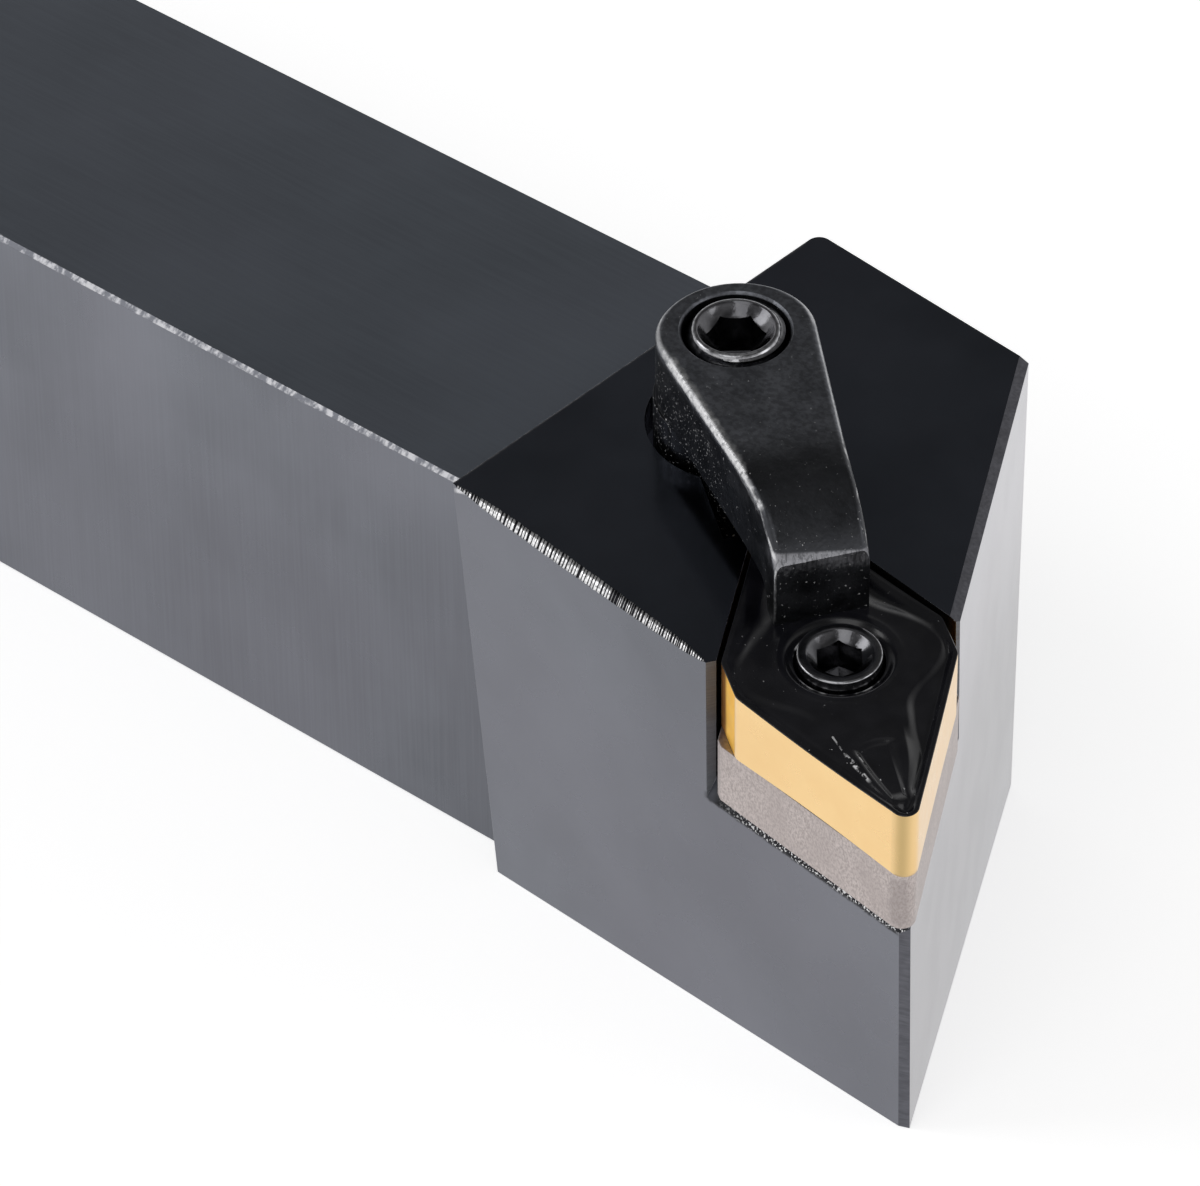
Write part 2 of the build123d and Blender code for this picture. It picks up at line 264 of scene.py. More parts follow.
def black_oxide(name, tone, roughness, grain=None, wear_lines=(), mottle=0.12, painted_shade_fades=(),
                grain_share=0.35, cut_line=None):
    """Black oxide over ground steel: tinted mottling, a directional grain and bright worn lines.

    A fade is painted shade that darkens the tone along an axis, and a cut line is a painted shadow
    in a dark ragged border, with burrs.
    """
    f = Finish(name, tone, 1.0, roughness)
    cloud = f.noise(70.0, 4.0)
    tint = f.noise(38.0, 2.0)
    dark = tuple(c * (1 - mottle) for c in tone)
    light = tuple(c * (1 + mottle) for c in tone)
    warm = (tone[0] * 1.04, tone[1] * 0.985, tone[2])
    colour = f.mix(f.ramp(cloud, 0.3, 0.7), dark, light)
    colour = f.mix(f.ramp(tint, 0.35, 0.7, 0.0, 0.5), colour, warm)
    # Painted shade: each fade darkens the tone towards one end of an axis
    for axis, low, high, share in painted_shade_fades:
        painted_fade_shade = f.ramp(f.coordinate(axis), low * MM, high * MM, 0.0, share)
        colour = f.mix(painted_fade_shade, colour, (0.0, 0.0, 0.0))
    rough = f.drift(240.0, roughness * 0.88, roughness * 1.12)
    if grain is not None:
        lines = f.noise(1.0, 3.0, grain, 0.6)
        bright = tuple(c * 1.25 for c in tone)
        colour = f.mix(f.ramp(lines, 0.3, 0.75, 0.0, grain_share), colour, bright)
        f.bump(lines, 0.0016)
    f.bump(f.noise(3500.0, 2.0), 0.0012)
    worn_masks = [f.times(f.near_line(start, end, width, ragged), strength)
                  for start, end, width, ragged, strength in wear_lines]
    if cut_line is not None:
        start, end = cut_line
        # A painted shadow along the cut line, under the shim; the burrs in it are real
        painted_shadow_border = f.near_line(start, end, 0.36, 0.26, 3000.0)
        colour = f.mix(painted_shadow_border, colour, CUT_SHADOW)
        burrs = f.times(f.ramp(f.noise(7600.0, 2.0), 0.575, 0.60),
                        f.near_line(start, end, 0.30, 0.2, 3000.0),
                        f.ramp(f.coordinate(0), BURR_START * MM, BURR_END * MM))
        worn_masks.append(burrs)
    if worn_masks:
        wear = f.times(f.most(*worn_masks), f.ramp(f.noise(1500.0), 0.34, 0.58, 0.35, 1.0))
        colour = f.mix(wear, colour, BARE_STEEL)
        rough = f.times(rough, f.ramp(wear, 0.0, 1.0, 1.0, 0.9))
    f.set("Base Color", colour)
    f.set("Roughness", rough)
    return f.done()


def milled_steel():
    """The head's near top edge: short bright ticks left by a cutter, dark between them."""
    f = Finish("milled_steel", (0.2, 0.2, 0.2), 1.0, 0.36)
    ticks = f.ramp(f.attribute("wear"), 0.25, 0.75)
    broken = f.times(ticks, f.ramp(f.noise(4200.0), 0.30, 0.46, 0.45, 1.0))
    f.set("Base Color", f.mix(broken, (0.022, 0.022, 0.026), (0.92, 0.92, 0.93)))
    f.set("Roughness", f.ramp(broken, 0.0, 1.0, 0.5, 0.32))
    f.bump(f.noise(3800.0), 0.01)
    return f.done()


def worn_edge(name):
    """The shank's upper bevels: oxide worn away in patches, and more so towards the head."""
    f = Finish(name, (0.2, 0.2, 0.2), 1.0, 0.4)
    towards_head = f.ramp(f.coordinate(0), -60 * MM, 56 * MM, -0.03, 0.05)
    level = f.math("ADD", f.noise(1.0, 4.0, (2400.0, 1400.0, 1400.0), 0.6), towards_head)
    f.set("Base Color", f.mix(f.ramp(level, 0.46, 0.68), (0.150, 0.155, 0.175), (0.44, 0.44, 0.46)))
    f.bump(f.noise(2600.0), 0.02)
    return f.done()


def cut_steel(name, tone, grain, contrast, metallic=1.0, burred=False):
    """A milled face under thin oxide: dull and grained, and bright with burrs where burred."""
    f = Finish(name, tone, metallic, 0.5)
    lines = f.noise(1.0, 3.0, grain, 0.6)
    dark, light = (tuple(c * factor for c in tone) for factor in (1 - contrast, 1 + contrast))
    colour = f.mix(f.ramp(lines, 0.3, 0.7), dark, light)
    if burred:
        specks = f.ramp(f.noise(7600.0, 2.0), 0.565, 0.59)
        right = f.ramp(f.coordinate(0), BURR_START * MM, BURR_END * MM)
        # Towards the pocket's corner the edge turns a lighter grey than the painted shadow
        corner = f.ramp(f.coordinate(0), CORNER_END * MM, CORNER_START * MM)
        colour = f.mix(corner, colour, (0.055, 0.058, 0.070))
        colour = f.mix(f.times(specks, right), colour, BURR)
        f.bump(f.noise(3600.0), 0.02)
    f.set("Base Color", colour)
    f.set("Roughness", f.drift(1500.0, 0.42, 0.58, 2.0))
    f.bump(lines, 0.004)
    return f.done()


def holder_finishes():
    """The holder's finishes by kind of face. A worn line is start, end, width, ragged, strength.

    A fade is painted shade: an axis, where it begins and ends along it, and how much it darkens.
    """
    near_edge = (SHANK_REAR_TOP.lerp(SHANK_HEAD_TOP, 0.5), SHANK_HEAD_TOP, 0.20, 0.45, 0.26)
    rear_edge = (HEAD_REAR_NEAR, HEAD_REAR_FAR, 0.14, 0.1, 0.6)
    corner = (HEAD_REAR_NEAR + Vector((0, 0, -0.5)), HEAD_REAR_NEAR + Vector((1.1, 0.0, -0.1)),
              0.24, 0.12, 1.0)
    ground_across = (5200.0, 5200.0, 90.0)
    ground_along = (140.0, 3600.0, 3600.0)
    return {
        # Painted shade darkens the shank's side towards the head and towards the bottom
        "shank_side": black_oxide(
            "oxide_ground_side", (0.196, 0.205, 0.232), 0.30, ground_across, [near_edge],
            mottle=0.16, painted_shade_fades=[(0, -45.0, 55.0, 0.16), (2, 23.0, 9.0, 0.18)], grain_share=0.14),
        "shank_edge": worn_edge("oxide_worn_edge"),
        "shank_top": black_oxide(
            "oxide_ground_top", (0.114, 0.130, 0.156), 0.34, ground_along, [near_edge]),
        "head_side": black_oxide(
            "oxide_satin", (0.162, 0.169, 0.192), 0.27, wear_lines=[rear_edge, corner],
            cut_line=(POCKET_LEFT_FLOOR, POCKET_TIP_FLOOR)),
        "head_top": black_oxide(
            "oxide_gloss", (0.110, 0.121, 0.148), 0.18, wear_lines=[rear_edge, corner],
            mottle=0.18),
        # The far flank's brighter base is painted light, and its fade is painted shade towards the
        # bottom
        "far_flank": black_oxide(
            "oxide_far_flank_painted_light", (0.278, 0.273, 0.305), 0.14, painted_shade_fades=[(2, 25.0, 12.0, 0.37)]),
        "milled": milled_steel(),
        "wall_edge": cut_steel(
            "milled_wall_edge", (0.150, 0.156, 0.172), (900.0, 900.0, 9000.0), 0.12, 0.6),
        # The floor edge's near-black tone is painted shadow under the shim; its burrs are real
        "floor_edge": cut_steel(
            "milled_floor_edge_painted_shadow", (0.020, 0.020, 0.024), (3600.0, 3600.0, 3600.0), 0.4, 0.6, True),
        "tip_edge": cut_steel(
            "milled_tip_edge", (0.112, 0.113, 0.129), (900.0, 900.0, 7000.0), 0.14),
        "far_edge": cut_steel(
            "milled_far_edge", (0.27, 0.27, 0.30), (5200.0, 5200.0, 900.0), 0.15),
    }


# Bright lines by their ends along the insert, across it and over it, their width and strength: worn
# edges on the clamp, painted glints on the insert
CLAMP_WEAR = [
    ((-20.6, -4.35, 6.70), (-18.6, -4.25, 6.75), 0.30, 0.75),
    ((-19.0, -4.25, 6.75), (-9.4, -2.95, 6.75), 0.46, 1.0),
    ((-13.5, -3.45, 6.75), (-9.0, -2.88, 6.70), 0.46, 1.0),
    ((-9.4, -2.95, 6.75), (-6.0, -2.72, 6.30), 0.42, 1.0),
    ((-6.0, -2.70, 6.30), (-3.5, -2.68, 4.60), 0.17, 0.85),
    ((-3.4, -2.74, 4.80), (-3.38, -2.75, 0.30), 0.15, 0.8),
    ((-19.2, 4.40, 6.85), (-9.2, 3.02, 6.85), 0.13, 0.45),
    ((-9.2, 2.98, 6.80), (-5.6, 2.72, 6.25), 0.20, 0.85),
    ((-5.6, 2.72, 6.20), (-3.4, 2.72, 4.40), 0.12, 0.6),
]
# Painted glints on the ridges behind the insert's nose
INSERT_GLINTS = [
    ((5.6, -2.25, 0.0), (7.4, -1.95, 0.0), 0.07, 0.6),
    ((7.4, -1.95, 0.0), (9.7, -1.30, 0.0), 0.15, 1.0),
    ((7.6, -1.28, 0.0), (9.8, -0.62, 0.0), 0.11, 1.0),
]


def wear_and_glint_lines(f, lines, scale):
    """The union of several bright lines, each with its strength, broken up by a fine noise: worn
    edges on the clamp and painted glints on the insert.
    """
    masks = [f.times(f.near_line(spot(*start), spot(*end), width, 0.9 * width, 1900.0), strength)
             for start, end, width, strength in lines]
    return f.times(f.most(*masks), f.ramp(f.noise(scale, 4.0), 0.28, 0.52, 0.35, 1.0))


def forged_black():
    """Forged clamp under black oxide: pebbled, its edges worn bright and its nose scratched, with
    painted shade below its bend and on its sides.
    """
    f = Finish("forged_black", (0.03, 0.03, 0.033), 1.0, 0.34)
    f.bump(f.noise(1300.0), 0.008)
    f.bump(f.noise(4000.0), 0.018)
    ahead, aside, over = (f.reach(axis) for axis in (INSERT_U, INSERT_V, INSERT_H))

    # Worn edges, the worn rear end and the dust on the sides
    edges = wear_and_glint_lines(f, CLAMP_WEAR, 3600.0)
    end = f.times(f.ring(spot(CLAMP_OFFSET, 0.0, 0.0), 4.42, 0.20), f.ramp(over, 6.2, 6.6),
                  f.ramp(ahead, -18.9, -19.8, 0.0, 0.4))
    dusty = f.times(f.ramp(over, 6.4, 5.4), f.ramp(ahead, -9.0, -14.0, 0.035, 0.085))
    specks = f.math("ADD", f.noise(6200.0, 2.0), dusty)
    specks = f.times(f.ramp(specks, 0.72, 0.77), 0.8)
    bright = f.most(edges, end, specks)

    # The scratched band across the nose, under its top edge
    level = f.math("ADD", over, f.times(aside, 0.12))
    uneven = f.times(f.math("SUBTRACT", f.noise(3400.0), 0.5), 1.6)
    streaks = f.ramp(f.noise(1.0, 4.0, (5200.0, 5200.0, 420.0), 0.7), 0.34, 0.60)
    scratched = f.times(f.ramp(level, 4.80, 4.64), f.ramp(f.math("ADD", level, uneven), 3.3, 4.2),
                        f.ramp(streaks, 0.0, 1.0, 0.35, 1.0), f.ramp(ahead, -5.2, -4.6))

    # Painted shade below the bend and on the sides, and pebbled all over
    base = f.mottled(420.0, (0.160, 0.167, 0.186), (0.200, 0.208, 0.230))
    bend_shade = f.times(f.ramp(ahead, -11.5, -8.5), 0.72)
    side_shade = f.times(f.ramp(over, 6.55, 6.1), f.ramp(ahead, -9.0, -14.0, 0.62, 0.82))
    base = f.mix(f.most(bend_shade, side_shade), base, (0.012, 0.012, 0.013))
    base = f.mix(f.ramp(f.noise(3000.0), 0.36, 0.64, 0.0, 0.42), base, (0.045, 0.046, 0.050))
    base = f.mix(scratched, base, (0.30, 0.30, 0.32))
    bare = f.mix(f.noise(5200.0, 2.0), (0.50, 0.50, 0.51), (0.84, 0.84, 0.85))
    f.set("Base Color", f.mix(bright, base, bare))
    f.set("Metallic", f.math("SUBTRACT", 1.0, specks))
    f.set("Roughness", f.drift(700.0, 0.30, 0.42))
    return f.done()


def screw_black(name, centre, rim_radius, rim_width):
    """Turned and blackened screw steel, glossy in its bowl, with a thin bright rim that is worn
    metal and a painted highlight.
    """
    f = Finish(name, (0.10, 0.10, 0.108), 1.0, 0.2)
    # The rim ring is worn metal brightened as a painted highlight
    rim = f.times(f.ring(centre, rim_radius, rim_width),
                  f.ramp(f.noise(3200.0), 0.3, 0.6, 0.3, 0.9))
    base = f.mottled(900.0, (0.110, 0.110, 0.118), (0.175, 0.175, 0.185))
    f.set("Base Color", f.mix(rim, base, (0.50, 0.50, 0.52)))
    f.set("Roughness", f.drift(1800.0, 0.12, 0.24))
    f.bump(f.noise(2600.0), 0.012)
    return f.done()


def carbide_grey():
    """Sintered carbide left bare and ground: warm grey, matte, with a fine upright grain."""
    f = Finish("carbide_grey", (0.46, 0.41, 0.39), 1.0, 0.46)
    grain = f.noise(1.0, 3.0, (8200.0, 8200.0, 5200.0), 0.6)
    colour = f.mix(f.ramp(grain, 0.32, 0.68), (0.350, 0.306, 0.292), (0.600, 0.535, 0.518))
    cloud = f.ramp(f.noise(420.0, 4.0), 0.35, 0.7, 0.0, 0.45)
    colour = f.mix(cloud, colour, (0.400, 0.350, 0.338))
    nose = f.near_line(spot(12.7, -0.5, -5.0), spot(12.7, -0.5, -8.8), 1.0, 0.5, 700.0)
    f.set("Base Color", f.mix(f.times(nose, 0.45), colour, (0.25, 0.22, 0.215)))
    f.set("Roughness", f.ramp(grain, 0.3, 0.7, 0.38, 0.55))
    f.bump(grain, 0.004)
    return f.done()


def gold_coat():
    """Golden nitride on the insert's flanks, darker in a band on its nose by a painted reflection,
    and paler on its right by painted light.
    """
    f = Finish("gold_coat", (0.93, 0.66, 0.29), 1.0, 0.3)
    colour = f.mottled(300.0, (0.885, 0.605, 0.285), (0.915, 0.64, 0.31))
    colour = f.mix(f.attribute("painted_pale_light"), colour, (0.925, 0.675, 0.395))
    f.set("Base Color", f.mix(f.attribute("painted_dark_reflection"), colour, (0.46, 0.33, 0.145)))
    f.set("Roughness", f.drift(900.0, 0.27, 0.33, 2.0))
    return f.done()


def gold_facet():
    """The same coat on the wide corners' facets, where it is duller and deeper, and brown on their
    rear half by painted shade.
    """
    f = Finish("gold_facet", (0.98, 0.64, 0.22), 1.0, 0.5)
    colour = f.mottled(700.0, (0.98, 0.57, 0.09), (1.0, 0.62, 0.12))
    # Painted shade turns the facets' rear half brown
    f.set("Base Color", f.mix(f.ramp(f.reach(INSERT_U), -0.15, -0.75), colour, (0.30, 0.12, 0.02)))
    f.set("Roughness", f.drift(1100.0, 0.44, 0.56, 2.0))
    return f.done()


def black_coat():
    """Glossy black alumina on the insert's faces, with painted glints on the ridges behind its nose
    and a painted highlight round its hole.
    """
    f = Finish("black_coat", (0.010, 0.010, 0.012), 0.0, 0.17)
    f.shader.inputs["IOR"].default_value = 1.54
    colour = f.mottled(500.0, (0.004, 0.004, 0.006), (0.009, 0.009, 0.012))
    specks = f.times(f.ramp(f.noise(4600.0, 2.0), 0.72, 0.77),
                     f.ramp(f.noise(260.0, 2.0), 0.46, 0.60))
    ridge_glints = f.times(wear_and_glint_lines(f, INSERT_GLINTS, 5200.0), f.ramp(f.noise(2600.0), 0.44, 0.56))
    # A painted highlight in a broken ring round the hole
    hole_rim_highlight = f.times(f.ring(INSERT_ORIGIN, 2.64, 0.07), f.ramp(f.noise(700.0, 2.0), 0.50, 0.62))
    bright = f.most(specks, ridge_glints, f.times(hole_rim_highlight, 0.7))
    f.set("Base Color", f.mix(bright, colour, (0.95, 0.95, 0.96)))
    f.set("Roughness", f.drift(800.0, 0.16, 0.25))
    f.bump(f.noise(1400.0), 0.005)
    return f.done()


# Meshes

def link(mesh, name):
    piece = bpy.data.objects.new(name, mesh)
    bpy.context.scene.collection.objects.link(piece)
    return piece


def shade(mesh, sharp_degrees=38.0):
    mesh.shade_smooth()
    mesh.set_sharp_from_angle(angle=math.radians(sharp_degrees))


def cleaned_solid(node):
    """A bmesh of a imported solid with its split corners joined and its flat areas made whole."""
    bm = bmesh.new()
    bm.from_mesh(NODES[node].data)
    bmesh.ops.remove_doubles(bm, verts=bm.verts, dist=0.0008 * MM)
    bmesh.ops.dissolve_limit(bm, angle_limit=math.radians(0.6), verts=bm.verts, edges=bm.edges)
    return bm


def node_box(node):
    """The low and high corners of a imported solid, in metres."""
    corners = np.array([v.co for v in NODES[node].data.vertices])
    return corners.min(axis=0), corners.max(axis=0)


def sharp_edges(bm, degrees=24.0):
    limit = math.radians(degrees)
    return [e for e in bm.edges if len(e.link_faces) == 2 and e.calc_face_angle(0.0) > limit]


def round_edges(bm, edges, width, segments=2):
    bmesh.ops.bevel(bm, geom=edges, offset=width * MM, offset_type="OFFSET", segments=segments,
                    profile=0.5, affect="EDGES", clamp_overlap=True, loop_slide=True)


def stand_for(piece, node):
    """Makes the piece move with the tool and stand for a solid, whose imported part it hides."""
    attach(piece, "root")
    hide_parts(node)
    return piece


def dressed(bm, node, name, finishes, pick=None, weighted=True):
    """Turns a bmesh into the piece that stands for a node, its finishes assigned by face."""
    mesh = bpy.data.meshes.new(name)
    bm.to_mesh(mesh)
    bm.free()
    for finish in finishes:
        mesh.materials.append(finish)
    if pick is not None:
        for face in mesh.polygons:
            face.material_index = pick(face)
    shade(mesh)
    piece = link(mesh, name)
    if weighted:
        piece.modifiers.new("face_weights", "WEIGHTED_NORMAL").keep_sharp = True
    return stand_for(piece, node)


# Holder body

# Small forms that the solid doesn't have, in millimetres
EDGE_WIDTH = 0.09
SHOULDER_ROUND = 0.28
RECESS_CLOSER = 0.3
CORNER_DROP = 0.1
CORNER_SHIFT = 0.17
CORNER_REACH = 0.5
MILLED_STEPS = 280
MILLED_WIDTH = 0.52
MILLED_SKEW = 0.06

# Where the head begins along x, and where its shoulder stands out over the shank's near side
HEAD_START = 56.9
SHOULDER_START, SHOULDER_SIDE = 55.7, -12.6


def milled_line():
    """The start of the head's near top edge in metres, its direction and its length."""
    start, end = HEAD_REAR_NEAR * MM, POCKET_LEFT_TOP * MM
    return start, (end - start).normalized(), (end - start).length


def edge_distance(point):
    """How far a place in metres is from the line of the head's near top edge, in millimetres."""
    start, along, _ = milled_line()
    return (point - start).cross(along).length / MM


def tick_pattern(random_source):
    """How bright each station of the milled edge is: ticks a few stations wide with gaps."""
    values = []
    while len(values) <= MILLED_STEPS:
        share = len(values) / MILLED_STEPS
        fine = share < 0.10 or share > 0.62
        strength = random_source.uniform(0.45, 1.0) if fine else random_source.uniform(0.85, 1.0)
        values += [strength] * random_source.choice((1, 1, 2) if fine else (2, 2, 3))
        values += [0.0] * random_source.choice((1, 1, 2) if fine else (1, 1, 1, 2))
    return values


def milled_edge(bm, random_source):
    """Opens the head's near top edge into a hand-run chamfer with feed marks, widest midway."""
    start, along, length = milled_line()
    for face in bm.faces:
        on_head = face.calc_center_median().x > 58 * MM and face.calc_area() > 100 * MM**2
        if face.normal.y < -0.9 and on_head:
            side_normal = face.normal.copy()
    into_top = INSERT_H.cross(along).normalized()
    into_top = into_top if into_top.y > 0 else -into_top
    into_side = side_normal.cross(along).normalized()
    into_side = into_side if into_side.z < 0 else -into_side
    wear = bm.verts.layers.float.new("wear")
    ticks = tick_pattern(random_source)
    stations = {}
    for v in bm.verts:
        run = (v.co - start).dot(along)
        if edge_distance(v.co) < EDGE_WIDTH + 0.05 and 0.25 * MM < run < length - 0.2 * MM:
            stations.setdefault(round(run / length * MILLED_STEPS), []).append((v, run))
    for step, members in sorted(stations.items()):
        share = members[0][1] / length
        swell = math.sin(math.pi * min(1.0, max(0.0, share))) ** 0.5
        fade = min(1.0, share * 9.0) * min(1.0, (1 - share) * 14.0)
        widening = (MILLED_WIDTH - EDGE_WIDTH) * swell * fade
        width = EDGE_WIDTH + widening * random_source.uniform(0.84, 1.06)
        tick = ticks[step]
        depth = 0.10 - 0.55 * tick + random_source.uniform(-0.08, 0.08)
        for v, run in members:
            point = start + along * run
            offset = v.co - point
            to_top, to_side = offset.dot(into_top), offset.dot(into_side)
            v[wear] = tick
            if to_top > 3 * abs(to_side):
                v.co = point + (into_top * width - along * MILLED_SKEW * fade) * MM
            elif to_side > 3 * abs(to_top):
                v.co = point + (into_side * width + along * MILLED_SKEW * fade) * MM
            else:
                v.co = point + (into_top + into_side) * width * MM * (0.50 + 0.08 * depth)


def near_any(point, *places):
    return any((point - place * MM).length < 0.35 * MM for place in places)


def holder_face(face):
    """Which of the holder's finishes a face has, from where it lies and where it faces."""
    normal, (u, v, h) = face.normal, local(face.center)
    ahead, aside, over = normal.dot(INSERT_U), normal.dot(INSERT_V), normal.dot(INSERT_H)
    x, y = face.center.x / MM, face.center.y / MM
    if not (x > HEAD_START or (x > SHOULDER_START and y < SHOULDER_SIDE)):
        if 0.15 < normal.z < 0.97:
            return "shank_edge"
        return "shank_top" if normal.z > 0.8 else "shank_side"
    if edge_distance(face.center) < 0.5 and face.area < 0.2 * MM**2:
        return "milled"
    if over > 0.99:
        return "head_top"
    if over > 0.9 and v > 7 and h > -0.6:
        return "far_edge"
    if ahead > 0.95 and h > -9.3:
        return "wall_edge"
    if over > 0.12 and aside < -0.5 and u > -3:
        return "floor_edge"
    if 0.6 < ahead < 0.95 and aside < -0.35 and u > 11:
        return "tip_edge"
    return "far_flank" if normal.x > 0.6 else "head_side"


def holder():
    """Shank and head: edges broken, the near top edge milled, the recess drawn in to the boss."""
    bm = cleaned_solid("holder_body")
    start, end = HEAD_REAR_NEAR * MM, POCKET_LEFT_TOP * MM
    for edge in list(bm.edges):
        a, b = (v.co for v in edge.verts)
        apart = min((a - start).length + (b - end).length, (a - end).length + (b - start).length)
        if apart < 0.1 * MM:
            bmesh.ops.subdivide_edges(bm, edges=[edge], cuts=MILLED_STEPS)
            break
    shoulder = [e for e in bm.edges if e.calc_length() > 10 * MM
                and all(near_any(v.co, HEAD_REAR_NEAR, SHOULDER_LOW) for v in e.verts)]
    round_edges(bm, shoulder, SHOULDER_ROUND, 5)
    round_edges(bm, sharp_edges(bm), EDGE_WIDTH)
    milled_edge(bm, random.Random(7))
    low, high = (Vector(c) for c in node_box("holder_body"))
    for v in bm.verts:
        if (v.co - POCKET_LEFT_FLOOR * MM).length < CORNER_REACH * MM:
            v.co += (INSERT_U * CORNER_SHIFT - INSERT_H * CORNER_DROP) * MM
        u, across, h = local(v.co)
        radius = math.hypot(u - CLAMP_OFFSET, across)
        if abs(radius - RECESS_RADIUS) < 0.15 and h > -1:
            factor = 1 - RECESS_CLOSER / radius
            v.co = MM * spot(CLAMP_OFFSET + (u - CLAMP_OFFSET) * factor, across * factor, h)
        v.co = Vector([min(max(c, a), b) for c, a, b in zip(v.co, low, high)])
    finishes = holder_finishes()
    slots = list(finishes)
    return dressed(bm, "holder_body", "holder", list(finishes.values()),
                   lambda face: slots.index(holder_face(face)))


# Insert

# The mesh: points round the outline, rings between hole and edge, and rows down the walls
INSERT_COLUMNS = 420
INSERT_RINGS = 84
RING_CROWDING = 0.06
HONE_RINGS = (0.022, 0.012, 0.006, 0.002)
NOSE_CROWDING = 3.0
FLANK_DEPTHS = (0.30, 2.38, INSERT_THICKNESS - 0.30)
HOLE_DEPTHS = (INSERT_THICKNESS - COUNTERSINK_DEPTH - 0.1, 2.38, COUNTERSINK_DEPTH + 0.1)

# The moulded face, in millimetres along the insert's diagonal and across it
ISLAND = [(0.0, 5.92), (1.2, 5.55), (2.3, 4.6), (3.3, 3.4), (4.3, 2.65), (5.9, 2.25), (7.4, 2.02),
          (9.0, 1.65), (10.6, 1.05), (11.6, 0.5), (11.95, 0.0)]
GROOVE_DEPTH = 0.30
GROOVE_RUN = 0.42
LAND_WIDTH = 0.20
EDGE_SAG = 0.16
HONE_DROP, HONE_WIDTH = 0.05, 0.06
ARCH_PLACE, ARCH_BOW = 6.75, 0.35
DISH_DEPTH, DISH_FRONT = 0.20, 11.3
DISH_HALF, DISH_TAPER, DISH_START = 1.35, 0.115, 6.9
RIDGE_HEIGHT, RIDGE_OFFSET, RIDGE_WIDTH = 0.05, 0.28, 0.2
RIM_HEIGHT, RIM_OFFSET, RIM_WIDTH = 0.03, 0.35, 0.2


def smoothstep(x, low, high):
    t = np.clip((x - low) / (high - low), 0.0, 1.0)
    return t * t * (3 - 2 * t)


def segment_distance(u, v, a, b):
    """Distance from places to the straight line between two points."""
    d = b - a
    t = np.clip(((u - a[0]) * d[0] + (v - a[1]) * d[1]) / (d @ d), 0.0, 1.0)
    return np.hypot(u - a[0] - t * d[0], v - a[1] - t * d[1])


def outline_distance(u, v):
    """Distance inside the insert's rounded outline, in millimetres, negative outside."""
    half = math.radians(CORNER_ANGLE / 2)
    side = INSCRIBED_CIRCLE / math.sin(math.radians(CORNER_ANGLE))
    spread = side * math.sin(half)
    cut_line = spread - OBTUSE_CHAMFER * math.cos(math.radians(90 - CORNER_ANGLE / 2))
    flank = INSCRIBED_CIRCLE / 2 - NOSE_RADIUS
    x, y = np.abs(u), np.abs(v)
    shoulder_y = cut_line - NOSE_RADIUS
    shoulder_x = (flank - shoulder_y * math.cos(half)) / math.sin(half)
    nose = np.array([flank / math.sin(half), 0.0])
    points = [nose, np.array([shoulder_x, shoulder_y]), np.array([0.0, shoulder_y])]
    inside = np.maximum(x * math.sin(half) + y * math.cos(half) - flank, y - shoulder_y)
    best = np.full(x.shape, 1e9)
    for a, b in zip(points[:-1], points[1:]):
        best = np.minimum(best, segment_distance(x, y, a, b))
    return NOSE_RADIUS - np.where(inside < 0, -best, best)


def closed_curve(quarter, steps):
    """A smooth closed outline from one quarter of it, mirrored both ways."""
    q = np.array(quarter)
    loop = np.vstack([q, (q * [1, -1])[::-1][1:], (q * [-1, -1])[1:], (q * [-1, 1])[::-1][1:-1]])
    n = len(loop)
    out = []
    for i in range(n):
        p0, p1, p2, p3 = (loop[(i + k) % n] for k in (-1, 0, 1, 2))
        for t in np.arange(steps) / steps:
            out.append(0.5 * (2 * p1 + (p2 - p0) * t + (2 * p0 - 5 * p1 + 4 * p2 - p3) * t**2
                              + (3 * p1 - p0 - 3 * p2 + p3) * t**3))
    return np.array(out)


def curve_distance(u, v, loop):
    """Signed distance to a closed outline, positive inside."""
    best = np.full(u.shape, 1e9)
    inside = np.zeros(u.shape, bool)
    for a, b in zip(loop, np.roll(loop, -1, axis=0)):
        best = np.minimum(best, segment_distance(u, v, a, b))
        with np.errstate(divide="ignore", invalid="ignore"):
            crossing = a[0] + (v - a[1]) * (b[0] - a[0]) / (b[1] - a[1])
        inside ^= ((a[1] > v) != (b[1] > v)) & (u < crossing)
    return np.where(inside, best, -best)


